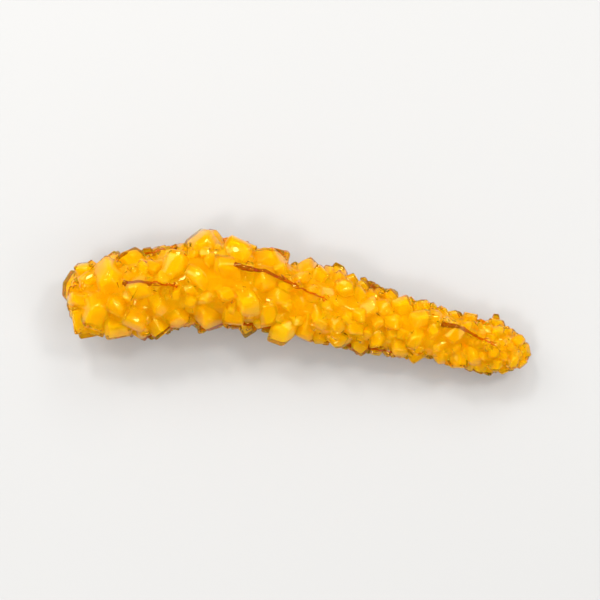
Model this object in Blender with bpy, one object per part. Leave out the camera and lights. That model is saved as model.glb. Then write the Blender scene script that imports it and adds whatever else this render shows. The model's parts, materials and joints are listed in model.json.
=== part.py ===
"""A stick of saffron rock candy, lying on its flattest side.

It is one solid: an uneven core of sugar with blocky crystals grown all over it,
largest at the broad end. The broad end points to -X and the narrow end to +X. The
origin lies on the resting plane, under the middle of the stick's box. Metres, +Z up.
"""
import math
import random

import bmesh
import bpy
from mathutils import Matrix, Vector, noise

MM = 0.001

# The whole stick, over its crystals.
LENGTH = 105.0 * MM
# Distance from the broad tip, width, height and sideways place of the middle line.
STATIONS = (
    (0.0 * MM, 18.0 * MM, 16.0 * MM, 0.6 * MM),
    (9.0 * MM, 20.5 * MM, 17.5 * MM, 1.0 * MM),
    (19.0 * MM, 21.8 * MM, 18.5 * MM, 2.6 * MM),
    (29.0 * MM, 22.0 * MM, 19.0 * MM, 6.0 * MM),
    (37.0 * MM, 22.2 * MM, 18.5 * MM, 7.2 * MM),
    (46.0 * MM, 19.2 * MM, 17.0 * MM, 6.4 * MM),
    (58.0 * MM, 18.8 * MM, 16.0 * MM, 4.8 * MM),
    (70.0 * MM, 16.2 * MM, 14.5 * MM, 3.0 * MM),
    (80.0 * MM, 14.4 * MM, 13.0 * MM, 1.8 * MM),
    (93.0 * MM, 12.6 * MM, 11.5 * MM, 0.6 * MM),
    (105.0 * MM, 11.0 * MM, 10.0 * MM, 0.0 * MM),
)
# How far the crystals stand out of the core, at the broad and at the narrow end.
COVER_BROAD = 3.3 * MM
COVER_NARROW = 1.3 * MM
# Length over which each end of the core rounds off.
ROUND_BROAD = 5.5 * MM
ROUND_NARROW = 7.0 * MM
# Lumps of the core: their depth, and how far apart they lie.
LUMP_DEPTH = 1.0 * MM
LUMP_SPACING = 8.0 * MM
CORE_SIDES = 14
CORE_RINGS = 24
# Step, in radians, over which the slope of the core's surface is taken.
SLOPE_STEP = 0.02
# Depth that is ground off below, so that the stick lies still.
FLAT_DEPTH = 0.5 * MM

# Crystals of each size: name, number, smallest and largest size, how far along the
# stick they reach, how closely they may stand as a share of their size, how far their
# middles lie below the core's surface as a share of their size, and the share of them
# that have a twin grown against them.
SIZES = (
    ("largest", 12, 7.8 * MM, 9.4 * MM, 0.36, 0.80, 0.26, 1.0),
    ("large", 30, 5.8 * MM, 7.4 * MM, 0.52, 0.74, 0.22, 0.6),
    ("medium", 84, 4.2 * MM, 5.6 * MM, 0.90, 0.66, 0.22, 0.0),
    ("small", 110, 2.7 * MM, 3.9 * MM, 1.00, 0.62, 0.20, 0.0),
)
# The reach of a size fades out over this share of itself.
REACH_FADE = 0.25
SEED = 41
# Places tried for one crystal before it is left out.
TRIES = 60
# The largest lean of a crystal from straight out of the surface.
LEAN = math.radians(42.0)
# A twin's size, and its shift aside and outwards, as shares of the crystal it stands against.
TWIN_SIZE = (0.56, 0.76)
TWIN_ASIDE = (0.26, 0.38)
TWIN_LIFT = (-0.10, 0.06)

# Shape of a crystal as shares of its size. HABITS is how many shapes there are.
HABITS = 6
CORNER_CUT = (0.24, 0.36)
CHISEL_CUT = (0.16, 0.30)
SLANT = (0.10, 0.26)
TAPER = 0.16
BREADTH = (0.80, 1.00)
THICKNESS = (0.68, 0.90)
HEIGHT = (0.95, 1.25)

AMBER = (0.86, 0.38, 0.018, 1.0)
SUGAR_ROUGHNESS = 0.18


def clear_scene():
    for item in list(bpy.data.objects):
        bpy.data.objects.remove(item, do_unlink=True)


def collection_of(name):
    group = bpy.data.collections.new(name)
    bpy.context.scene.collection.children.link(group)
    return group


def sugar_material():
    material = bpy.data.materials.new("amber_sugar")
    material.use_nodes = True
    shader = material.node_tree.nodes["Principled BSDF"]
    shader.inputs["Base Color"].default_value = AMBER
    shader.inputs["Roughness"].default_value = SUGAR_ROUGHNESS
    shader.inputs["Metallic"].default_value = 0.0
    return material


def clamped(value):
    return min(max(value, 0.0), 1.0)


def section_at(x):
    """Width, height and sideways place at x from the broad tip, eased between stations."""
    near, far = STATIONS[:2]
    for near, far in zip(STATIONS, STATIONS[1:]):
        if x <= far[0]:
            break
    share = clamped((x - near[0]) / (far[0] - near[0]))
    smooth = share * share * (3.0 - 2.0 * share)
    blend = 0.5 * (share + smooth)
    return [a + (b - a) * blend for a, b in zip(near[1:], far[1:])]


def cover_at(x):
    """Height of the crystals over the core at x from the broad tip."""
    return COVER_BROAD + (COVER_NARROW - COVER_BROAD) * clamped(x / LENGTH)


def rounding(distance, length):
    """Share of the full section left at a distance from an end that is rounded over length."""
    return math.sqrt(1.0 - (1.0 - clamped(distance / length)) ** 2)


def core_point(polar, around):
    """Point of the core's surface. polar runs 0..pi from the broad to the narrow end."""
    start = cover_at(0.0)
    end = LENGTH - cover_at(LENGTH)
    x = start + (end - start) * 0.5 * (1.0 - math.cos(polar))
    width, height, sideways = section_at(x)
    left = rounding(x - start, ROUND_BROAD) * rounding(end - x, ROUND_NARROW)
    outward = Vector((0.0, math.cos(around), math.sin(around)))
    across = outward.y * (width * 0.5 - cover_at(x)) * left
    upward = outward.z * (height * 0.5 - cover_at(x)) * left
    edge = Vector((x - LENGTH * 0.5, sideways + across, height * 0.5 + upward))
    return edge + outward * (noise.noise(edge / LUMP_SPACING) * LUMP_DEPTH * left)


def core_normal(polar, around):
    """Outward direction of the core's surface."""
    along = core_point(polar + SLOPE_STEP, around) - core_point(polar - SLOPE_STEP, around)
    across = core_point(polar, around + SLOPE_STEP) - core_point(polar, around - SLOPE_STEP)
    return across.cross(along).normalized()


def core_object(group, material):
    """The core: a sphere drawn out along the stick's middle line."""
    shape = bmesh.new()
    bmesh.ops.create_uvsphere(shape, u_segments=CORE_SIDES, v_segments=CORE_RINGS, radius=1.0)
    for vertex in shape.verts:
        polar = math.acos(min(max(vertex.co.z, -1.0), 1.0))
        vertex.co = core_point(polar, math.atan2(vertex.co.y, vertex.co.x))
    bmesh.ops.recalc_face_normals(shape, faces=shape.faces[:])
    mesh = bpy.data.meshes.new("rock_candy")
    shape.to_mesh(mesh)
    shape.free()
    mesh.materials.append(material)
    core = bpy.data.objects.new("rock_candy", mesh)
    group.objects.link(core)
    return core


def cut_edges(block, edges, offset):
    """Replace edges of a block by flat faces."""
    bmesh.ops.bevel(block, geom=edges, offset=offset, offset_type="OFFSET", affect="EDGES",
                    segments=1, profile=0.5, material=-1)


def crystal_mesh(name, draw):
    """A sugar crystal, 1 m in size: a slanting six-sided block with a chisel end."""
    block = bmesh.new()
    bmesh.ops.create_cube(block, size=1.0)
    corners = [edge for edge in block.edges
               if edge.verts[0].co.z * edge.verts[1].co.z < 0.0
               and edge.verts[0].co.x * edge.verts[0].co.y > 0.0]
    cut_edges(block, corners, draw.uniform(*CORNER_CUT))
    block.verts.ensure_lookup_table()
    top = max(vertex.co.z for vertex in block.verts)
    side = max(vertex.co.y for vertex in block.verts)
    chisel = [edge for edge in block.edges
              if all(math.isclose(vertex.co.z, top) and math.isclose(vertex.co.y, side)
                     for vertex in edge.verts)]
    cut_edges(block, chisel, draw.uniform(*CHISEL_CUT))
    slant = draw.uniform(*SLANT)
    for vertex in block.verts:
        narrowing = 1.0 - TAPER * (vertex.co.z + 0.5)
        vertex.co.x = vertex.co.x * narrowing + slant * vertex.co.z
        vertex.co.y = vertex.co.y * narrowing
    bmesh.ops.recalc_face_normals(block, faces=block.faces[:])
    mesh = bpy.data.meshes.new(name)
    block.to_mesh(mesh)
    block.free()
    return mesh


def crystal_matrix(place, outward, size, sink, draw):
    """Place, turn and proportions of one crystal that grows out of the core."""
    form = Matrix.Diagonal((size * draw.uniform(*BREADTH), size * draw.uniform(*THICKNESS),
                            size * draw.uniform(*HEIGHT), 1.0))
    spin = Matrix.Rotation(draw.uniform(0.0, 2.0 * math.pi), 4, "Z")
    way = draw.uniform(0.0, 2.0 * math.pi)
    tilt = Matrix.Rotation(LEAN * math.sqrt(draw.random()), 4, Vector((math.cos(way), math.sin(way), 0.0)))
    stand = outward.to_track_quat("Z", "Y").to_matrix().to_4x4()
    return Matrix.Translation(place - outward * size * sink) @ stand @ tilt @ spin @ form


def twin_matrix(draw):
    """Place of a smaller crystal grown against a larger one and turned alike, in its units."""
    aside = [draw.choice((-1.0, 1.0)) * draw.uniform(*TWIN_ASIDE) for axis in range(2)]
    place = Matrix.Translation((*aside, draw.uniform(*TWIN_LIFT)))
    return place @ Matrix.Scale(draw.uniform(*TWIN_SIZE), 4)


def free_place(size, reach, closeness, grown, draw):
    """A random place on the core with room for a crystal, or nothing after too many tries."""
    for attempt in range(TRIES):
        polar = draw.uniform(0.0, math.pi)
        around = draw.uniform(0.0, 2.0 * math.pi)
        along = 0.5 * (1.0 - math.cos(polar))
        place = core_point(polar, around)
        if along <= reach * draw.uniform(1.0 - REACH_FADE, 1.0) or reach == 1.0:
            if all((place - other).length > closeness * 0.5 * (size + span) for other, span in grown):
                return place, core_normal(polar, around)
    return None


def add_crystal(group, name, habit, matrix):
    crystal = bpy.data.objects.new(name, habit)
    crystal.matrix_world = matrix
    group.objects.link(crystal)


def grow_crystals(group):
    """Crystals all over the core, the largest first, each size spread evenly."""
    draw = random.Random(SEED)
    habits = [crystal_mesh("crystal_%d" % index, draw) for index in range(HABITS)]
    grown = []
    for name, number, smallest, largest, reach, closeness, sink, twinned in SIZES:
        for count in range(number):
            size = draw.uniform(smallest, largest)
            found = free_place(size, reach, closeness, grown, draw)
            if found:
                habit = draw.choice(habits)
                matrix = crystal_matrix(*found, size, sink, draw)
                add_crystal(group, "%s_%03d" % (name, count), habit, matrix)
                grown.append((found[0], size))
                if draw.random() < twinned:
                    add_crystal(group, "%s_%03d_twin" % (name, count), habit, matrix @ twin_matrix(draw))


def apply_modifiers(item):
    """Make the object's mesh what its modifiers give."""
    bpy.context.view_layer.update()
    state = bpy.context.evaluated_depsgraph_get()
    item.data = bpy.data.meshes.new_from_object(item.evaluated_get(state))
    item.modifiers.clear()


def fuse(core, crystals):
    """One union of the core with all its crystals, by the solver that keeps every seam closed."""
    union = core.modifiers.new("fuse", "BOOLEAN")
    union.operation = "UNION"
    union.operand_type = "COLLECTION"
    union.collection = crystals
    union.solver = "MANIFOLD"
    apply_modifiers(core)
    for crystal in list(crystals.objects):
        bpy.data.objects.remove(crystal, do_unlink=True)
    bpy.data.collections.remove(crystals)


def flatten_below(item, cutters):
    """Cut the lowest crystals off level, at the height of the resting plane."""
    bpy.ops.mesh.primitive_cube_add(size=1.0)
    block = bpy.context.object
    block.name = "floor_cutter"
    for group in list(block.users_collection):
        group.objects.unlink(block)
    cutters.objects.link(block)
    block.scale = (2.0 * LENGTH, LENGTH, LENGTH)
    block.location = (0.0, 0.0, FLAT_DEPTH - LENGTH * 0.5)
    block.hide_render = True
    block.display_type = "WIRE"
    cut = item.modifiers.new("flatten", "BOOLEAN")
    cut.operation = "DIFFERENCE"
    cut.object = block
    cut.solver = "MANIFOLD"
    apply_modifiers(item)


def shell_volume(faces):
    """Volume inside one shell of triangles, below zero where it bounds a sealed hollow."""
    return sum(face.verts[0].co.dot(face.verts[1].co.cross(face.verts[2].co)) for face in faces) / 6.0


def shells_of(shape):
    """Groups of faces that hang together."""
    left = set(shape.faces)
    shells = []
    while left:
        front = [left.pop()]
        shell = []
        while front:
            face = front.pop()
            shell.append(face)
            near = {other for edge in face.edges for other in edge.link_faces} & left
            left -= near
            front.extend(near)
        shells.append(shell)
    return shells


def keep_outer_skin(item):
    """Keep the largest shell: sealed hollows are filled and loose scraps dropped."""
    shape = bmesh.new()
    shape.from_mesh(item.data)
    bmesh.ops.triangulate(shape, faces=shape.faces[:])
    shells = sorted(shells_of(shape), key=shell_volume)
    spare = [face for shell in shells[:-1] for face in shell]
    bmesh.ops.delete(shape, geom=spare, context="FACES")
    shape.to_mesh(item.data)
    shape.free()


def centre_on_origin(item):
    """Move the mesh so that the origin is under the middle of its box."""
    corners = [vertex.co for vertex in item.data.vertices]
    low = [min(corner[axis] for corner in corners) for axis in range(3)]
    high = [max(corner[axis] for corner in corners) for axis in range(3)]
    shift = (-(low[0] + high[0]) * 0.5, -(low[1] + high[1]) * 0.5, -low[2])
    item.data.transform(Matrix.Translation(shift))


def main():
    clear_scene()
    stick = collection_of("rock_candy_stick")
    crystals = collection_of("crystals")
    cutters = collection_of("cutters")
    core = core_object(stick, sugar_material())
    grow_crystals(crystals)
    fuse(core, crystals)
    flatten_below(core, cutters)
    keep_outer_skin(core)
    centre_on_origin(core)


main()
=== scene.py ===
"""A stick of saffron rock candy on a pale table.

Clear amber crystals are grown round a cloudy heart of sugar, and saffron threads are
sunk among them. The crystals of the solid keep their places here, with worn edges,
and finer ones fill the gaps between them.
"""
import json
import math
import random

import bmesh
import bpy
from mathutils import Matrix, Vector, noise
from mathutils.bvhtree import BVHTree

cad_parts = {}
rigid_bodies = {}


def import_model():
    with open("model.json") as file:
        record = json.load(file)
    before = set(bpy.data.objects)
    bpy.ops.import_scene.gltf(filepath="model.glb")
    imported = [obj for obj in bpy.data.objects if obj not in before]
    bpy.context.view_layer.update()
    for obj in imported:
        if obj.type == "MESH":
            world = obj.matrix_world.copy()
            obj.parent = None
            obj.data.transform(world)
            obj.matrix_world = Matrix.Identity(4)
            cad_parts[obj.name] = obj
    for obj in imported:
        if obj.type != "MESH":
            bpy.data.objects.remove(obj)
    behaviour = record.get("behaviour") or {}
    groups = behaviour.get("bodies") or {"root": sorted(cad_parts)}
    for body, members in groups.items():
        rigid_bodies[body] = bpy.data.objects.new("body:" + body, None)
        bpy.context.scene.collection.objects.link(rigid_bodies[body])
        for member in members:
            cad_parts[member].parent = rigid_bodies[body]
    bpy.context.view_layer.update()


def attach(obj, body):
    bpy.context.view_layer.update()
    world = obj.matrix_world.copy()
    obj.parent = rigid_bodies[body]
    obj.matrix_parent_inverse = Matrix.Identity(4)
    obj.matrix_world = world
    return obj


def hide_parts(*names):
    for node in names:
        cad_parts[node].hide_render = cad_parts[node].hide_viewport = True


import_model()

NODE = "rock_candy"
MM = 0.001

# The stick's own sizes, as in the solid. A station is its distance from the broad tip,
# the width and height there, and how far the middle line lies to the side.
LENGTH = 105.0 * MM
STATIONS = (
    (0.0 * MM, 18.0 * MM, 16.0 * MM, 0.6 * MM),
    (9.0 * MM, 20.5 * MM, 17.5 * MM, 1.0 * MM),
    (19.0 * MM, 21.8 * MM, 18.5 * MM, 2.6 * MM),
    (29.0 * MM, 22.0 * MM, 19.0 * MM, 6.0 * MM),
    (37.0 * MM, 22.2 * MM, 18.5 * MM, 7.2 * MM),
    (46.0 * MM, 19.2 * MM, 17.0 * MM, 6.4 * MM),
    (58.0 * MM, 18.8 * MM, 16.0 * MM, 4.8 * MM),
    (70.0 * MM, 16.2 * MM, 14.5 * MM, 3.0 * MM),
    (80.0 * MM, 14.4 * MM, 13.0 * MM, 1.8 * MM),
    (93.0 * MM, 12.6 * MM, 11.5 * MM, 0.6 * MM),
    (105.0 * MM, 11.0 * MM, 10.0 * MM, 0.0 * MM),
)
# Depth of the core under the outside, and length over which it is rounded, at each end.
COVER_BROAD = 3.3 * MM
COVER_NARROW = 1.3 * MM
ROUND_BROAD = 5.5 * MM
ROUND_NARROW = 7.0 * MM
# Lumps of the core, its sides and rings, and the step in radians that gives its slope.
LUMP_DEPTH = 1.0 * MM
LUMP_SPACING = 8.0 * MM
CORE_SIDES = 14
CORE_RINGS = 24
SLOPE_STEP = 0.02
# Height at which the grown stick is cut off level, and comes to rest.
FLAT_DEPTH = 0.5 * MM

# Crystals: name, number, smallest and largest size, share of the length that they reach,
# share of their size kept between two middles, share of it by which a middle is sunk in
# the core, and share of them with a twin.
SIZES = (
    ("largest", 12, 7.8 * MM, 9.4 * MM, 0.36, 0.80, 0.26, 1.0),
    ("large", 30, 5.8 * MM, 7.4 * MM, 0.52, 0.74, 0.22, 0.6),
    ("medium", 84, 4.2 * MM, 5.6 * MM, 0.90, 0.66, 0.22, 0.0),
    ("small", 110, 2.7 * MM, 3.9 * MM, 1.00, 0.62, 0.20, 0.0),
)
# Share of a reach over which it fades out.
REACH_FADE = 0.25
SEED = 41
# Places tried for a crystal before it is left out.
TRIES = 60
# Most that a crystal leans away from straight out.
LEAN = math.radians(42.0)
# Forms that the crystals of a kind share, and what makes each, as shares of its size.
HABITS = 6
CORNER_CUT = (0.24, 0.36)
CHISEL_CUT = (0.16, 0.30)
SLANT = (0.10, 0.26)
TAPER = 0.16
BREADTH = (0.80, 1.00)
THICKNESS = (0.68, 0.90)
HEIGHT = (0.95, 1.25)
TWIN_SIZE = (0.56, 0.76)
TWIN_ASIDE = (0.26, 0.38)
TWIN_LIFT = (-0.10, 0.06)
# Wear of a crystal's edges, as a share of its size, and the faces that round each edge.
EDGE_WEAR = 0.085
WEAR_FACES = 3
FINE_WEAR_FACES = 1

# Finer crystals between those of the solid, given like them, without twins.
FINE_SIZES = (
    ("fine", 420, 1.7 * MM, 2.6 * MM, 1.00, 0.50, 0.20),
    ("grain", 300, 1.0 * MM, 1.6 * MM, 1.00, 0.62, 0.15),
)
FINE_SEED = 7
# A gap between crystals is where the skin lies less than this above the core.
GAP_HEIGHT = 0.8 * MM
# Share of the finer crystals that also sit on larger ones.
STRAY_SHARE = 0.04
# Height over the core from which the skin is looked for.
FAR_OUT = 12.0 * MM
# Seed of the crystals' tones, and height over the core of the palest colour, where the painted shade
# ends: sugar low in the hollows near the core is painted deeper amber as shade.
TONE_SEED = 19
PAINTED_SHADE_RISE = 4.0 * MM
# Faces that meet at less than this are shaded as one.
SMOOTH_BELOW = math.radians(36.0)
# Size of the cloudy heart of a crystal as a share of the crystal. The stick's own heart
# lies this far below its core, and ends this far above the resting plane.
HEART_SHARE = 0.76
HEART_DEPTH = 0.5 * MM
HEART_LIFT = 0.3 * MM

# Saffron threads: distance of the thick and of the thin end from the broad tip, angle
# round the stick at both, and how far the thread bows, in degrees.
THREADS = (
    (12.6 * MM, 24.2 * MM, 83.0, 100.0, 5.5),
    (36.3 * MM, 57.8 * MM, 73.0, 89.0, 9.0),
    (9.0 * MM, 23.0 * MM, -14.0, 2.0, -6.0),
    (30.0 * MM, 48.0 * MM, 184.0, 200.0, 8.0),
    (31.0 * MM, 47.0 * MM, -24.0, -8.0, 7.0),
    (62.0 * MM, 76.0 * MM, 190.0, 176.0, -7.0),
    (66.0 * MM, 82.0 * MM, -12.0, 6.0, 8.0),
    (84.0 * MM, 97.0 * MM, 75.0, 96.0, 8.0),
    (14.0 * MM, 31.0 * MM, 214.0, 196.0, 9.0),
    (42.0 * MM, 60.0 * MM, 236.0, 256.0, 8.0),
    (72.0 * MM, 88.0 * MM, 300.0, 282.0, 9.0),
)
THREAD_SEED = 19
THREAD_POINTS = 13
# Radius of a thread at its thick end, the share of it lost by the thin end, and the curve
# and roundness of its tube.
THREAD_RADIUS = 0.5 * MM
THREAD_TAPER = 0.7
THREAD_ORDER = 4
THREAD_ROUNDNESS = 2
# Points of a thread's tube that lie closer together than this are one.
THREAD_MERGE = 0.01 * THREAD_RADIUS
# Depth of a thread under the mean of the skin round it, and its way clear of the cloudy hearts.
THREAD_DEPTH = 0.25 * MM
THREAD_CLEAR = 0.5 * MM
# How far a thread sways, and the points on each side over which its height is evened out.
THREAD_WAVE = 0.12 * MM
THREAD_EVEN = 2
# Sugar that has grown over a thread: its size, the share of it by which its middle lies
# below the thread, and the least depth at which a thread needs none.
SEAL_SIZE = (2.4 * MM, 3.0 * MM)
SEAL_SINK = 0.14
SEAL_DEPTH = 0.2 * MM
SEAL_SEED = 7
# What of a thread would still lie bare is drawn in to this depth, in so many rounds.
SKIN_OVER_THREAD = 0.06 * MM
DRAW_IN_ROUNDS = 3
# The line along which crossings of the skin are counted, and the step past each.
WAY_OUT = Vector((0.31, 0.52, 0.79)).normalized()
CROSSING_STEP = 0.001 * MM

AMBER_DEEP = (0.97, 0.39, 0.001, 1.0)
AMBER_PALE = (1.0, 0.55, 0.008, 1.0)
CLOUDY_DEEP = (1.0, 0.86, 0.12, 1.0)
CLOUDY_PALE = (1.0, 0.93, 0.25, 1.0)
PALE_TABLE = (0.40, 0.396, 0.389, 1.0)
SAFFRON_DARK = (0.26, 0.022, 0.003, 1.0)
SAFFRON_LIGHT = (0.70, 0.16, 0.006, 1.0)
WHITE = (1.0, 1.0, 1.0, 1.0)

# Clouds and specks of paler sugar, what part of each pattern counts, and how much the
# colour follows them and the lean towards the pale colour.
BROAD_CLOUDS = {"Scale": 160.0, "Detail": 3.0, "Roughness": 0.55}
FINE_SPECKS = {"Scale": 900.0, "Detail": 2.0, "Roughness": 0.6}
CLOUD_RANGE = (0.32, 0.68)
SPECK_RANGE = (0.30, 0.75)
CLOUD_SHARE = 0.35
SPECK_SHARE = 0.15
LEAN_SHARE = 0.5
# What makes clear sugar lean towards its pale colour, and how far a heart leans. The rise share is
# painted shade: sugar low in the hollows near the core is painted deeper, sugar that stands out
# paler.
TONE_IN_LEAN = 0.5
SHADE_BY_RISE_IN_LEAN = 0.5
HEART_LEAN = 0.5
# Growth lines, swells and pits of the faces, with their shares of the relief. The lines
# turn about an axis by this angle in radians over all tones.
GROWTH_LINES = {"Scale": 260.0, "Distortion": 2.5, "Detail": 2.0, "Detail_Scale": 1.2}
FACE_SWELLS = {"Scale": 420.0, "Detail": 3.0}
FACE_PITS = {"Scale": 1100.0}
PIT_RANGE = (0.12, 0.35)
LINE_SHARE = 0.25
SWELL_SHARE = 0.6
PIT_SHARE = 0.08
TURN_AXIS = (0.3, 0.5, 0.8)
TURN_OVER_TONES = 40.0
FACE_RELIEF = {"Strength": 0.14, "Distance": 0.25 * MM}
# Dull patches of the faces, and the roughness of a glossy and of a dull one.
DULL_PATCHES = {"Scale": 330.0, "Detail": 4.0, "Roughness": 0.65}
DULL_RANGE = (0.50, 0.72)
SUGAR_ROUGHNESS = (0.05, 0.22)
# Grain of a thread. Its light colour follows the way along it and the grain, each as the
# range of the pattern and of the share that it gives.
THREAD_GRAIN = {"Scale": 1400.0, "Detail": 3.0}
THREAD_RELIEF = {"Strength": 0.5, "Distance": 0.1 * MM}
LIGHT_ALONG = (0.35, 1.0, 0.0, 0.8)
LIGHT_IN_GRAIN = (0.45, 0.75, 0.0, 0.3)

# How light goes through and off each material.
SUGAR_BODY = {
    "IOR": 1.46, "Specular_Tint": (1.0, 0.78, 0.30, 1.0), "Transmission_Weight": 0.9,
    "Subsurface_Weight": 1.0, "Subsurface_Scale": 4.0 * MM, "Subsurface_Radius": (1.0, 0.45, 0.06),
}
HEART_BODY = {
    "Roughness": 0.5, "IOR": 1.1,
    "Subsurface_Weight": 1.0, "Subsurface_Scale": 3.0 * MM, "Subsurface_Radius": (1.0, 0.7, 0.3),
}
THREAD_BODY = {"Roughness": 0.7, "IOR": 1.2}
TABLE_BODY = {"Base_Color": PALE_TABLE, "Roughness": 0.6}

# Half the side of the table, in metres.
TABLE_REACH = 1.5
# Camera: degrees above the table, metres from what it looks at, the height of that over
# the table, its roll in degrees, and its lens in millimetres.
CAMERA_HEIGHT = 80.0
CAMERA_DISTANCE = 0.31
CAMERA_TARGET = 8.0 * MM
CAMERA_ROLL = 6.6
CAMERA_LENS = 85.0
# Brightness of the pale studio, and of its walls and ceiling as glossy faces mirror them,
# with their tint. The walls reach up to this height of a direction 1 long.
STUDIO_GLOW = 1.06
WALLS_IN_MIRRORS = 0.45
CEILING_IN_MIRRORS = 0.05
WARM_IN_MIRRORS = (1.0, 0.72, 0.36, 1.0)
WALL_TOP = 0.7
# Softboxes: place, size and power in watts.
SOFTBOXES = {
    "left_softbox": ((-0.48, 0.22, 0.42), 0.32, 1.5),
    "right_softbox": ((0.50, -0.20, 0.42), 0.24, 0.7),
    "back_softbox": ((0.12, 0.52, 0.42), 0.24, 1.0),
    "left_sparkle": ((-0.20, 0.30, 0.42), 0.10, 1.0),
    "right_sparkle": ((0.26, 0.16, 0.42), 0.10, 0.8),
    "front_sparkle": ((-0.14, -0.24, 0.42), 0.10, 0.8),
}


def clamped(value):
    """A value kept between 0 and 1."""
    return min(max(value, 0.0), 1.0)


def section_at(x):
    """Width, height and sideways place at x from the broad tip, eased between stations."""
    for near, far in zip(STATIONS, STATIONS[1:]):
        if x <= far[0]:
            break
    share = clamped((x - near[0]) / (far[0] - near[0]))
    smooth = share * share * (3.0 - 2.0 * share)
    blend = 0.5 * (share + smooth)
    return [a + (b - a) * blend for a, b in zip(near[1:], far[1:])]


def cover_at(x):
    """Depth of the core under the outside at x from the broad tip."""
    return COVER_BROAD + (COVER_NARROW - COVER_BROAD) * clamped(x / LENGTH)


def rounding(distance, length):
    """Share of the full section left at a distance from an end that is rounded over length."""
    return math.sqrt(1.0 - (1.0 - clamped(distance / length)) ** 2)


def core_point(polar, around, deeper=0.0):
    """Point of the core's surface, or of one that lies deeper. polar runs 0..pi along the stick."""
    start = cover_at(0.0) + deeper
    end = LENGTH - cover_at(LENGTH) - deeper
    x = start + (end - start) * 0.5 * (1.0 - math.cos(polar))
    width, height, sideways = section_at(x)
    left = rounding(x - start, ROUND_BROAD) * rounding(end - x, ROUND_NARROW)
    outward = Vector((0.0, math.cos(around), math.sin(around)))
    across = outward.y * (width * 0.5 - cover_at(x) - deeper) * left
    upward = outward.z * (height * 0.5 - cover_at(x) - deeper) * left
    edge = Vector((x - LENGTH * 0.5, sideways + across, height * 0.5 + upward))
    return edge + outward * (noise.noise(edge / LUMP_SPACING) * LUMP_DEPTH * left)


def core_normal(polar, around):
    """Outward direction of the core's surface."""
    along = core_point(polar + SLOPE_STEP, around) - core_point(polar - SLOPE_STEP, around)
    across = core_point(polar, around + SLOPE_STEP) - core_point(polar, around - SLOPE_STEP)
    return across.cross(along).normalized()


def mesh_from(shape, name):
    """The mesh of a finished bmesh."""
    mesh = bpy.data.meshes.new(name)
    shape.to_mesh(mesh)
    shape.free()
    return mesh


def placed(name, data):
    """A new object in the scene."""
    item = bpy.data.objects.new(name, data)
    bpy.context.scene.collection.objects.link(item)
    return item


def collection_of(name):
    """A new, empty collection in the scene."""
    group = bpy.data.collections.new(name)
    bpy.context.scene.collection.children.link(group)
    return group


def core_mesh(name, deeper=0.0):
    """A sphere drawn out to the form of the core, or to one that lies deeper."""
    shape = bmesh.new()
    bmesh.ops.create_uvsphere(shape, u_segments=CORE_SIDES, v_segments=CORE_RINGS, radius=1.0)
    for vertex in shape.verts:
        polar = math.acos(min(max(vertex.co.z, -1.0), 1.0))
        vertex.co = core_point(polar, math.atan2(vertex.co.y, vertex.co.x), deeper)
    bmesh.ops.recalc_face_normals(shape, faces=shape.faces[:])
    return mesh_from(shape, name)


def cut_edges(block, edges, offset, segments=1):
    """Replace edges of a block by flat faces."""
    bmesh.ops.bevel(block, geom=edges, offset=offset, offset_type="OFFSET", affect="EDGES",
                    segments=segments, profile=0.5, material=-1)


def crystal_mesh(name, draw, wear_faces):
    """A sugar crystal, 1 m in size: a slanting six-sided block with a chisel end and worn edges."""
    block = bmesh.new()
    bmesh.ops.create_cube(block, size=1.0)
    corners = [edge for edge in block.edges
               if edge.verts[0].co.z * edge.verts[1].co.z < 0.0
               and edge.verts[0].co.x * edge.verts[0].co.y > 0.0]
    cut_edges(block, corners, draw.uniform(*CORNER_CUT))
    block.verts.ensure_lookup_table()
    top = max(vertex.co.z for vertex in block.verts)
    side = max(vertex.co.y for vertex in block.verts)
    chisel = [edge for edge in block.edges
              if all(math.isclose(vertex.co.z, top) and math.isclose(vertex.co.y, side)
                     for vertex in edge.verts)]
    cut_edges(block, chisel, draw.uniform(*CHISEL_CUT))
    slant = draw.uniform(*SLANT)
    for vertex in block.verts:
        narrowing = 1.0 - TAPER * (vertex.co.z + 0.5)
        vertex.co.x = vertex.co.x * narrowing + slant * vertex.co.z
        vertex.co.y = vertex.co.y * narrowing
    cut_edges(block, block.edges[:], EDGE_WEAR, wear_faces)
    bmesh.ops.recalc_face_normals(block, faces=block.faces[:])
    return mesh_from(block, name)


def habits_of(name, draw, wear_faces):
    """The few forms that all crystals of a kind share."""
    return [crystal_mesh("%s_%d" % (name, index), draw, wear_faces) for index in range(HABITS)]


def crystal_matrix(place, outward, size, sink, draw):
    """Place, turn and proportions of one crystal that grows out of the core."""
    form = Matrix.Diagonal((size * draw.uniform(*BREADTH), size * draw.uniform(*THICKNESS),
                            size * draw.uniform(*HEIGHT), 1.0))
    spin = Matrix.Rotation(draw.uniform(0.0, 2.0 * math.pi), 4, "Z")
    way = draw.uniform(0.0, 2.0 * math.pi)
    hinge = Vector((math.cos(way), math.sin(way), 0.0))
    tilt = Matrix.Rotation(LEAN * math.sqrt(draw.random()), 4, hinge)
    stand = outward.to_track_quat("Z", "Y").to_matrix().to_4x4()
    return Matrix.Translation(place - outward * size * sink) @ stand @ tilt @ spin @ form


def twin_matrix(draw):
    """Place of a smaller crystal grown against a larger one and turned alike, in its units."""
    aside = [draw.choice((-1.0, 1.0)) * draw.uniform(*TWIN_ASIDE) for axis in range(2)]
    place = Matrix.Translation((*aside, draw.uniform(*TWIN_LIFT)))
    return place @ Matrix.Scale(draw.uniform(*TWIN_SIZE), 4)


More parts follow.
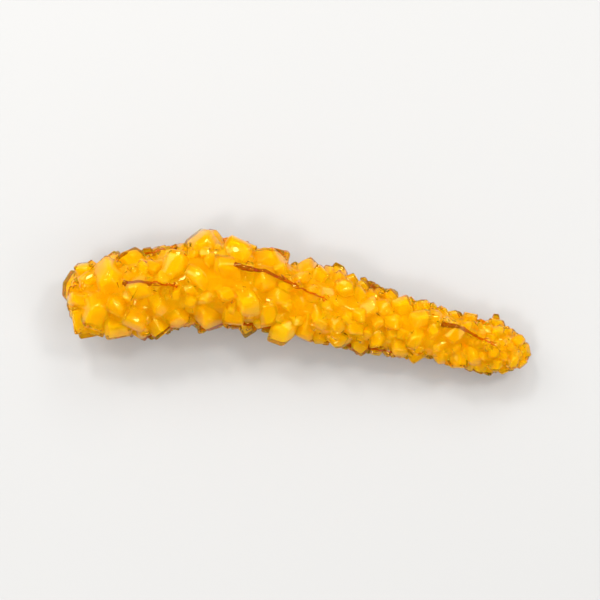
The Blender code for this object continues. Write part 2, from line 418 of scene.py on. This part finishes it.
def free_place(size, reach, closeness, grown, draw):
    """A random place on the core with room for a crystal, or nothing after too many tries."""
    for attempt in range(TRIES):
        polar = draw.uniform(0.0, math.pi)
        around = draw.uniform(0.0, 2.0 * math.pi)
        along = 0.5 * (1.0 - math.cos(polar))
        place = core_point(polar, around)
        if along <= reach * draw.uniform(1.0 - REACH_FADE, 1.0) or reach == 1.0:
            if all((place - other).length > closeness * 0.5 * (size + span) for other, span in grown):
                return place, core_normal(polar, around)
    return None


def add_crystal(group, name, habit, matrix, tones):
    """A crystal in its place, with a tone of its own."""
    mesh = habit.copy()
    tone = tones.random()
    for face in mesh.attributes.new("tone", "FLOAT", "FACE").data:
        face.value = tone
    crystal = bpy.data.objects.new(name, mesh)
    crystal.matrix_world = matrix
    group.objects.link(crystal)


def grow_crystals(group, hearts, tones):
    """The crystals of the solid, in their places, with worn edges, and a cloudy heart in each."""
    draw = random.Random(SEED)
    shrink = Matrix.Scale(HEART_SHARE, 4)
    habits = habits_of("crystal", draw, WEAR_FACES)
    grown = []
    for name, number, smallest, largest, reach, closeness, sink, twinned in SIZES:
        for count in range(number):
            size = draw.uniform(smallest, largest)
            found = free_place(size, reach, closeness, grown, draw)
            if found:
                habit = draw.choice(habits)
                matrix = crystal_matrix(*found, size, sink, draw)
                places = [("crystal", matrix)]
                grown.append((found[0], size))
                if draw.random() < twinned:
                    places.append(("twin", matrix @ twin_matrix(draw)))
                for kind, place in places:
                    label = "%s_%s_%03d" % (name, kind, count)
                    add_crystal(group, label, habit, place, tones)
                    add_crystal(hearts, label + "_heart", habit, place @ shrink, tones)


def skin_over(skin, place, outward):
    """The point of a skin that lies over a place of the core, or else that place."""
    return skin.ray_cast(place + outward * FAR_OUT, -outward)[0] or place


def grow_fine_crystals(group, skin, low, high, tones):
    """Finer crystals in the gaps of the skin, and a few on it that are well inside its box."""
    draw = random.Random(FINE_SEED)
    habits = habits_of("fine_crystal", draw, FINE_WEAR_FACES)
    grown = []
    for name, number, smallest, largest, reach, closeness, sink in FINE_SIZES:
        for count in range(number):
            size = draw.uniform(smallest, largest)
            found = free_place(size, reach, closeness, grown, draw)
            if found:
                place, outward = found
                grown.append((place, size))
                root = skin_over(skin, place, outward)
                gap = (root - place).dot(outward) < GAP_HEIGHT
                inside = all(low[axis] + size < root[axis] < high[axis] - size for axis in range(3))
                habit = draw.choice(habits)
                matrix = crystal_matrix(root, outward, size, sink, draw)
                stray = draw.random() < STRAY_SHARE
                if gap or stray and inside:
                    add_crystal(group, "%s_%03d" % (name, count), habit, matrix, tones)


def finished_mesh(item):
    """A mesh of what an object's curve or modifiers give."""
    bpy.context.view_layer.update()
    state = bpy.context.evaluated_depsgraph_get()
    return bpy.data.meshes.new_from_object(item.evaluated_get(state))


def apply_modifiers(item):
    """Make the object's mesh what its modifiers give."""
    item.data = finished_mesh(item)
    item.modifiers.clear()


def fuse(item, group):
    """One union of an object with a collection, which is then emptied and removed."""
    union = item.modifiers.new("fuse", "BOOLEAN")
    union.operation = "UNION"
    union.operand_type = "COLLECTION"
    union.collection = group
    union.solver = "MANIFOLD"
    apply_modifiers(item)
    for crystal in list(group.objects):
        bpy.data.objects.remove(crystal, do_unlink=True)
    bpy.data.collections.remove(group)


def flatten_below(item, height):
    """Cut the lowest crystals off level, at a height."""
    shape = bmesh.new()
    bmesh.ops.create_cube(shape, size=1.0)
    bmesh.ops.scale(shape, vec=(2.0 * LENGTH, LENGTH, LENGTH), verts=shape.verts)
    bmesh.ops.translate(shape, vec=(0.0, 0.0, height - LENGTH * 0.5), verts=shape.verts)
    block = placed("floor_cutter", mesh_from(shape, "floor_cutter"))
    cut = item.modifiers.new("flatten", "BOOLEAN")
    cut.operation = "DIFFERENCE"
    cut.object = block
    cut.solver = "MANIFOLD"
    apply_modifiers(item)
    bpy.data.objects.remove(block, do_unlink=True)


def keep_outer_skin(item):
    """Keep the largest shell of a mesh, so that no loose scrap or sealed hollow is left."""
    shape = bmesh.new()
    shape.from_mesh(item.data)
    left = set(shape.faces)
    shells = []
    while left:
        front = [left.pop()]
        shell = []
        while front:
            face = front.pop()
            shell.append(face)
            near = {other for edge in face.edges for other in edge.link_faces} & left
            left -= near
            front.extend(near)
        shells.append(shell)
    shells.sort(key=len)
    spare = [face for shell in shells[:-1] for face in shell]
    bmesh.ops.delete(shape, geom=spare, context="FACES")
    shape.to_mesh(item.data)
    shape.free()


def box_of(item):
    """Lowest and highest corner of an object's mesh."""
    corners = [vertex.co for vertex in item.data.vertices]
    low = Vector([min(corner[axis] for corner in corners) for axis in range(3)])
    high = Vector([max(corner[axis] for corner in corners) for axis in range(3)])
    return low, high


def skin_of(mesh):
    """The faces of a mesh, ready for rays and nearest points."""
    shape = bmesh.new()
    shape.from_mesh(mesh)
    skin = BVHTree.FromBMesh(shape)
    shape.free()
    return skin


def note_rise_for_painted_shade(mesh, core):
    """Write how far each point of the crystals stands out of the core, as a share of the palest, for
    the painted shade that deepens the amber in the hollows.
    """
    rise = mesh.attributes.new("rise", "FLOAT", "POINT")
    for vertex, cell in zip(mesh.vertices, rise.data):
        cell.value = clamped(core.find_nearest(vertex.co)[3] / PAINTED_SHADE_RISE)


def height_of(skin, place, outward):
    """How high a skin lies over a place of the core."""
    return (skin_over(skin, place, outward) - place).dot(outward)


def evened(values):
    """Each value's mean with its neighbours."""
    means = []
    for count in range(len(values)):
        near = values[max(count - THREAD_EVEN, 0):count + THREAD_EVEN + 1]
        means.append(sum(near) / len(near))
    return means


def thread_path(thick, thin, first, last, bow, skin, inner, draw):
    """Spots of a thread that lies in the clear sugar, from its thick to its thin end.

    Each is a point of the thread, the outward direction, and the height of the skin over it."""
    spots = []
    for count in range(THREAD_POINTS):
        share = count / (THREAD_POINTS - 1)
        x = thick + (thin - thick) * share
        around = math.radians(first + (last - first) * share - bow * 4.0 * share * (1.0 - share))
        polar = math.acos(1.0 - 2.0 * x / LENGTH)
        spots.append((core_point(polar, around), core_normal(polar, around)))
    tops = [height_of(skin, *spot) for spot in spots]
    hearts = [height_of(inner, *spot) for spot in spots]
    lies = [max(mean - THREAD_DEPTH, heart + THREAD_CLEAR)
            for mean, heart in zip(evened(evened(tops)), evened(hearts))]
    path = []
    for (place, outward), top, heart, lie in zip(spots, tops, hearts, lies):
        rise = max(lie, heart + THREAD_CLEAR)
        sway = Vector([draw.uniform(-THREAD_WAVE, THREAD_WAVE) for axis in range(3)])
        path.append((place + outward * rise + sway, outward, top - rise))
    return path


def seal_threads(group, paths, tones):
    """Small clear crystals over the stretches of thread that would lie bare."""
    draw = random.Random(SEAL_SEED)
    habits = habits_of("seal_crystal", draw, FINE_WEAR_FACES)
    for number, path in enumerate(paths):
        for count, (point, outward, depth) in enumerate(path):
            size = draw.uniform(*SEAL_SIZE)
            matrix = crystal_matrix(point, outward, size, SEAL_SINK, draw)
            habit = draw.choice(habits)
            if depth < SEAL_DEPTH:
                add_crystal(group, "seal_%02d_%02d" % (number, count), habit, matrix, tones)


def grow_stick():
    """The sugar, its cloudy heart and the paths of its threads, with the shift to the frame."""
    tones = random.Random(TONE_SEED)
    stick = placed("sugar_crystals", core_mesh("sugar_crystals"))
    core = skin_of(stick.data)
    crystals = collection_of("crystals")
    hearts = collection_of("crystal_hearts")
    grow_crystals(crystals, hearts, tones)
    fuse(stick, crystals)
    low, high = box_of(stick)
    shift = Matrix.Translation(((low.x + high.x) * -0.5, (low.y + high.y) * -0.5, -FLAT_DEPTH))
    fine = collection_of("fine_crystals")
    grow_fine_crystals(fine, skin_of(stick.data), low, high, tones)
    fuse(stick, fine)
    heart = placed("cloudy_heart", core_mesh("cloudy_heart", HEART_DEPTH))
    fuse(heart, hearts)
    skins = skin_of(stick.data), skin_of(heart.data)
    draw = random.Random(THREAD_SEED)
    paths = [thread_path(*thread, *skins, draw) for thread in THREADS]
    seals = collection_of("seals")
    seal_threads(seals, paths, tones)
    fuse(stick, seals)
    flatten_below(stick, FLAT_DEPTH)
    keep_outer_skin(stick)
    note_rise_for_painted_shade(stick.data, core)
    stick.data.shade_smooth()
    stick.data.set_sharp_from_angle(angle=SMOOTH_BELOW)
    flatten_below(heart, FLAT_DEPTH + HEART_LIFT)
    return stick, heart, paths, shift


def within(skin, point):
    """Whether a point lies inside a closed skin, by how often a line from it crosses the skin."""
    crossings = 0
    hit = skin.ray_cast(point, WAY_OUT)[0]
    while hit:
        crossings += 1
        hit = skin.ray_cast(hit + WAY_OUT * CROSSING_STEP, WAY_OUT)[0]
    return crossings % 2 == 1


def draw_in(shape, skin):
    """Move what of a thread would stand out of the sugar to just under its skin."""
    for vertex in list(shape.verts) * DRAW_IN_ROUNDS:
        if not within(skin, vertex.co):
            nearest = skin.find_nearest(vertex.co)[0]
            vertex.co = nearest + (nearest - vertex.co).normalized() * SKIN_OVER_THREAD


def tube_mesh(name, points):
    """A round tube along points, thick at the first and thin at the last."""
    curve = bpy.data.curves.new(name, "CURVE")
    curve.dimensions = "3D"
    curve.bevel_depth = THREAD_RADIUS
    curve.bevel_resolution = THREAD_ROUNDNESS
    curve.use_fill_caps = True
    spline = curve.splines.new("NURBS")
    spline.points.add(len(points) - 1)
    spline.use_endpoint_u = True
    spline.order_u = THREAD_ORDER
    for count, (point, place) in enumerate(zip(spline.points, points)):
        point.co = (*place, 1.0)
        point.radius = 1.0 - THREAD_TAPER * count / (len(points) - 1)
    item = placed(name, curve)
    mesh = finished_mesh(item)
    bpy.data.objects.remove(item, do_unlink=True)
    return mesh


def thread_object(name, points, skin):
    """One saffron thread under the skin, which notes how far along it each of its points lies."""
    mesh = tube_mesh(name, points)
    shape = bmesh.new()
    shape.from_mesh(mesh)
    bmesh.ops.remove_doubles(shape, verts=shape.verts, dist=THREAD_MERGE)
    draw_in(shape, skin)
    bmesh.ops.recalc_face_normals(shape, faces=shape.faces[:])
    shape.to_mesh(mesh)
    shape.free()
    start, end = points[0].x, points[-1].x
    along = mesh.attributes.new("along", "FLOAT", "POINT")
    for vertex, cell in zip(mesh.vertices, along.data):
        cell.value = clamped((vertex.co.x - start) / (end - start))
    return placed(name, mesh)


class Nodes:
    """Short ways of adding nodes to a material or a group."""

    def __init__(self, tree):
        self.tree = tree

    def add(self, kind, **settings):
        """A new node of a kind."""
        node = self.tree.nodes.new("ShaderNode" + kind)
        for name, value in settings.items():
            setattr(node, name, value)
        return node

    def link(self, source, target):
        """Join an output to an input."""
        self.tree.links.new(source, target)

    def put(self, value, target):
        """Link or set one input."""
        if isinstance(value, bpy.types.NodeSocket):
            self.link(value, target)
        else:
            target.default_value = value

    def feed(self, node, **values):
        """Set or link a node's inputs, named with spaces as underscores."""
        for name, value in values.items():
            self.put(value, node.inputs[name.replace("_", " ")])
        return node

    def maths(self, operation, first, second):
        """Two numbers worked into one, kept between 0 and 1 unless they are multiplied."""
        node = self.add("Math", operation=operation, use_clamp=operation != "MULTIPLY")
        for socket, value in zip(node.inputs, (first, second)):
            self.put(value, socket)
        return node.outputs[0]

    def weighed(self, *terms):
        """The sum of values, each times its share."""
        parts = [self.maths("MULTIPLY", value, share) for value, share in terms]
        total = parts[0]
        for part in parts[1:]:
            total = self.maths("ADD", total, part)
        return total

    def mix(self, share, first, second):
        """A colour between two others."""
        node = self.add("Mix", data_type="RGBA")
        for index, value in ((0, share), (6, first), (7, second)):
            self.put(value, node.inputs[index])
        return node.outputs[2]

    def blend(self, share, first, second):
        """A number between two others."""
        node = self.add("Mix")
        for index, value in ((0, share), (2, first), (3, second)):
            self.put(value, node.inputs[index])
        return node.outputs[0]

    def remap(self, value, low, high, least=0.0, most=1.0):
        """A number between low and high, stretched to lie between least and most."""
        node = self.add("MapRange")
        self.link(value, node.inputs[0])
        for index, limit in enumerate((low, high, least, most), 1):
            node.inputs[index].default_value = limit
        return node.outputs[0]


def group_of(name, inputs, outputs):
    """A new shader group, whose sockets are given by their names and kinds."""
    tree = bpy.data.node_groups.new(name, "ShaderNodeTree")
    for side, sockets in (("INPUT", inputs), ("OUTPUT", outputs)):
        for label, kind in sockets.items():
            tree.interface.new_socket(label, in_out=side, socket_type="NodeSocket" + kind)
    return tree, tree.nodes.new("NodeGroupInput"), tree.nodes.new("NodeGroupOutput")


def clouds_group():
    """Drifting clouds of paler sugar: a colour between a deep and a pale one."""
    tree, given, result = group_of(
        "sugar_clouds", {"Deep": "Color", "Pale": "Color", "Lean": "Float"}, {"Color": "Color"})
    nodes = Nodes(tree)
    place = nodes.add("TexCoord").outputs["Object"]
    broad = nodes.feed(nodes.add("TexNoise"), Vector=place, **BROAD_CLOUDS)
    fine = nodes.feed(nodes.add("TexNoise"), Vector=place, **FINE_SPECKS)
    share = nodes.weighed((nodes.remap(broad.outputs[0], *CLOUD_RANGE), CLOUD_SHARE),
                          (nodes.remap(fine.outputs[0], *SPECK_RANGE), SPECK_SHARE),
                          (given.outputs["Lean"], LEAN_SHARE))
    nodes.link(nodes.mix(share, given.outputs["Deep"], given.outputs["Pale"]), result.inputs["Color"])
    return tree


def faces_group():
    """Growth lines, pits and dull patches of a crystal's faces, turned differently for each tone."""
    tree, given, result = group_of(
        "crystal_faces", {"Tone": "Float"}, {"Height": "Float", "Dullness": "Float"})
    nodes = Nodes(tree)
    place = nodes.add("TexCoord").outputs["Object"]
    angle = nodes.maths("MULTIPLY", given.outputs["Tone"], TURN_OVER_TONES)
    turned = nodes.feed(nodes.add("VectorRotate", rotation_type="AXIS_ANGLE"),
                        Vector=place, Axis=TURN_AXIS, Angle=angle).outputs[0]
    lines = nodes.feed(nodes.add("TexWave", wave_profile="SAW"), Vector=turned, **GROWTH_LINES)
    swells = nodes.feed(nodes.add("TexNoise"), Vector=turned, **FACE_SWELLS)
    pits = nodes.feed(nodes.add("TexVoronoi"), Vector=place, **FACE_PITS)
    height = nodes.weighed((lines.outputs["Fac"], LINE_SHARE), (swells.outputs[0], SWELL_SHARE),
                           (nodes.remap(pits.outputs["Distance"], *PIT_RANGE), PIT_SHARE))
    nodes.link(height, result.inputs["Height"])
    patches = nodes.feed(nodes.add("TexNoise"), Vector=place, **DULL_PATCHES)
    nodes.link(nodes.remap(patches.outputs[0], *DULL_RANGE), result.inputs["Dullness"])
    return tree


def group_node(nodes, tree, **values):
    """A group placed in a material, with its own values."""
    node = nodes.add("Group")
    node.node_tree = tree
    return nodes.feed(node, **values)


def material_with_shader(name, colour):
    """A new material, its nodes and its shader."""
    material = bpy.data.materials.new(name)
    material.use_nodes = True
    material.diffuse_color = colour
    return material, Nodes(material.node_tree), material.node_tree.nodes["Principled BSDF"]


def sugar_material(clouds, faces):
    """Clear amber sugar with glossy faces, and painted shade: deeper amber in the hollows near the
    core, paler where it stands out.
    """
    material, nodes, shader = material_with_shader("amber_sugar", AMBER_PALE)
    tone = nodes.add("Attribute", attribute_name="tone").outputs["Fac"]
    rise = nodes.add("Attribute", attribute_name="rise").outputs["Fac"]
    # The rise gives painted shade, deeper amber in the hollows and paler where the sugar stands out;
    # the tone is each crystal's own.
    lean = nodes.weighed((tone, TONE_IN_LEAN), (rise, SHADE_BY_RISE_IN_LEAN))
    colour = group_node(nodes, clouds, Deep=AMBER_DEEP, Pale=AMBER_PALE, Lean=lean)
    detail = group_node(nodes, faces, Tone=tone)
    roughness = nodes.remap(detail.outputs["Dullness"], 0.0, 1.0, *SUGAR_ROUGHNESS)
    bump = nodes.feed(nodes.add("Bump"), Height=detail.outputs["Height"], **FACE_RELIEF)
    nodes.feed(shader, Base_Color=colour.outputs["Color"], Normal=bump.outputs[0],
               Roughness=roughness, **SUGAR_BODY)
    return material


def heart_material(clouds):
    """Cloudy pale sugar in the middle of the stick and of each crystal."""
    material, nodes, shader = material_with_shader("cloudy_heart", CLOUDY_PALE)
    colour = group_node(nodes, clouds, Deep=CLOUDY_DEEP, Pale=CLOUDY_PALE, Lean=HEART_LEAN)
    nodes.feed(shader, Base_Color=colour.outputs["Color"], **HEART_BODY)
    return material


def thread_material():
    """Dried saffron: dark red-brown, orange towards the thin end."""
    material, nodes, shader = material_with_shader("saffron_thread", SAFFRON_DARK)
    along = nodes.add("Attribute", attribute_name="along").outputs["Fac"]
    place = nodes.add("TexCoord").outputs["Object"]
    grain = nodes.feed(nodes.add("TexNoise"), Vector=place, **THREAD_GRAIN).outputs[0]
    share = nodes.maths("ADD", nodes.remap(along, *LIGHT_ALONG), nodes.remap(grain, *LIGHT_IN_GRAIN))
    colour = nodes.mix(share, SAFFRON_DARK, SAFFRON_LIGHT)
    bump = nodes.feed(nodes.add("Bump"), Height=grain, **THREAD_RELIEF)
    nodes.feed(shader, Base_Color=colour, Normal=bump.outputs[0], **THREAD_BODY)
    return material


def coat(item, material):
    """Give a piece one material."""
    item.data.materials.clear()
    item.data.materials.append(material)


def set_table():
    """The pale table under the stick."""
    shape = bmesh.new()
    bmesh.ops.create_grid(shape, x_segments=1, y_segments=1, size=TABLE_REACH)
    table = placed("table", mesh_from(shape, "table"))
    material, nodes, shader = material_with_shader("pale_table", PALE_TABLE)
    nodes.feed(shader, **TABLE_BODY)
    coat(table, material)


def aim(item, target):
    """Turn a lamp or a camera towards a point."""
    item.rotation_euler = (target - item.location).to_track_quat("-Z", "Y").to_euler()


def set_lights():
    """The softboxes, all turned to the stick."""
    for name, (place, size, power) in SOFTBOXES.items():
        light = bpy.data.lights.new(name, "AREA")
        light.size = size
        light.energy = power
        item = placed(name, light)
        item.location = place
        aim(item, Vector((0.0, 0.0, 0.0)))


def set_studio():
    """A pale room, which glossy faces mirror dimmer and warmer, and dimmest overhead."""
    world = bpy.data.worlds.new("studio")
    world.use_nodes = True
    nodes = Nodes(world.node_tree)
    ray = nodes.add("LightPath").outputs
    mirrored = nodes.maths("SUBTRACT", ray["Is Glossy Ray"], ray["Is Transmission Ray"])
    way = nodes.feed(nodes.add("SeparateXYZ"), Vector=nodes.add("TexCoord").outputs["Generated"])
    room = nodes.remap(way.outputs["Z"], 0.0, WALL_TOP, WALLS_IN_MIRRORS, CEILING_IN_MIRRORS)
    glow = nodes.blend(mirrored, STUDIO_GLOW, room)
    tint = nodes.mix(mirrored, WHITE, WARM_IN_MIRRORS)
    nodes.feed(world.node_tree.nodes["Background"], Color=tint, Strength=glow)
    bpy.context.scene.world = world
    bpy.context.scene.view_settings.view_transform = "Standard"


def set_camera():
    """The camera, high over the stick and a little rolled."""
    lens = bpy.data.cameras.new("camera")
    lens.lens = CAMERA_LENS
    camera = placed("camera", lens)
    height = math.radians(CAMERA_HEIGHT)
    target = Vector((0.0, 0.0, CAMERA_TARGET))
    back = Vector((0.0, -math.cos(height), math.sin(height)))
    camera.location = target + back * CAMERA_DISTANCE
    aim(camera, target)
    camera.rotation_euler.rotate_axis("Z", math.radians(CAMERA_ROLL))
    bpy.context.scene.camera = camera


def main():
    """The stick with its threads and materials, on its stage."""
    stick, heart, paths, shift = grow_stick()
    skin = skin_of(stick.data)
    threads = [thread_object("saffron_thread_%02d" % count, [spot[0] for spot in path], skin)
               for count, path in enumerate(paths)]
    clouds = clouds_group()
    coat(stick, sugar_material(clouds, faces_group()))
    coat(heart, heart_material(clouds))
    saffron = thread_material()
    for thread in threads:
        coat(thread, saffron)
    for item in [stick, heart] + threads:
        item.data.transform(shift)
        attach(item, "root")
        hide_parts(NODE)
    set_table()
    set_lights()
    set_studio()
    set_camera()


main()
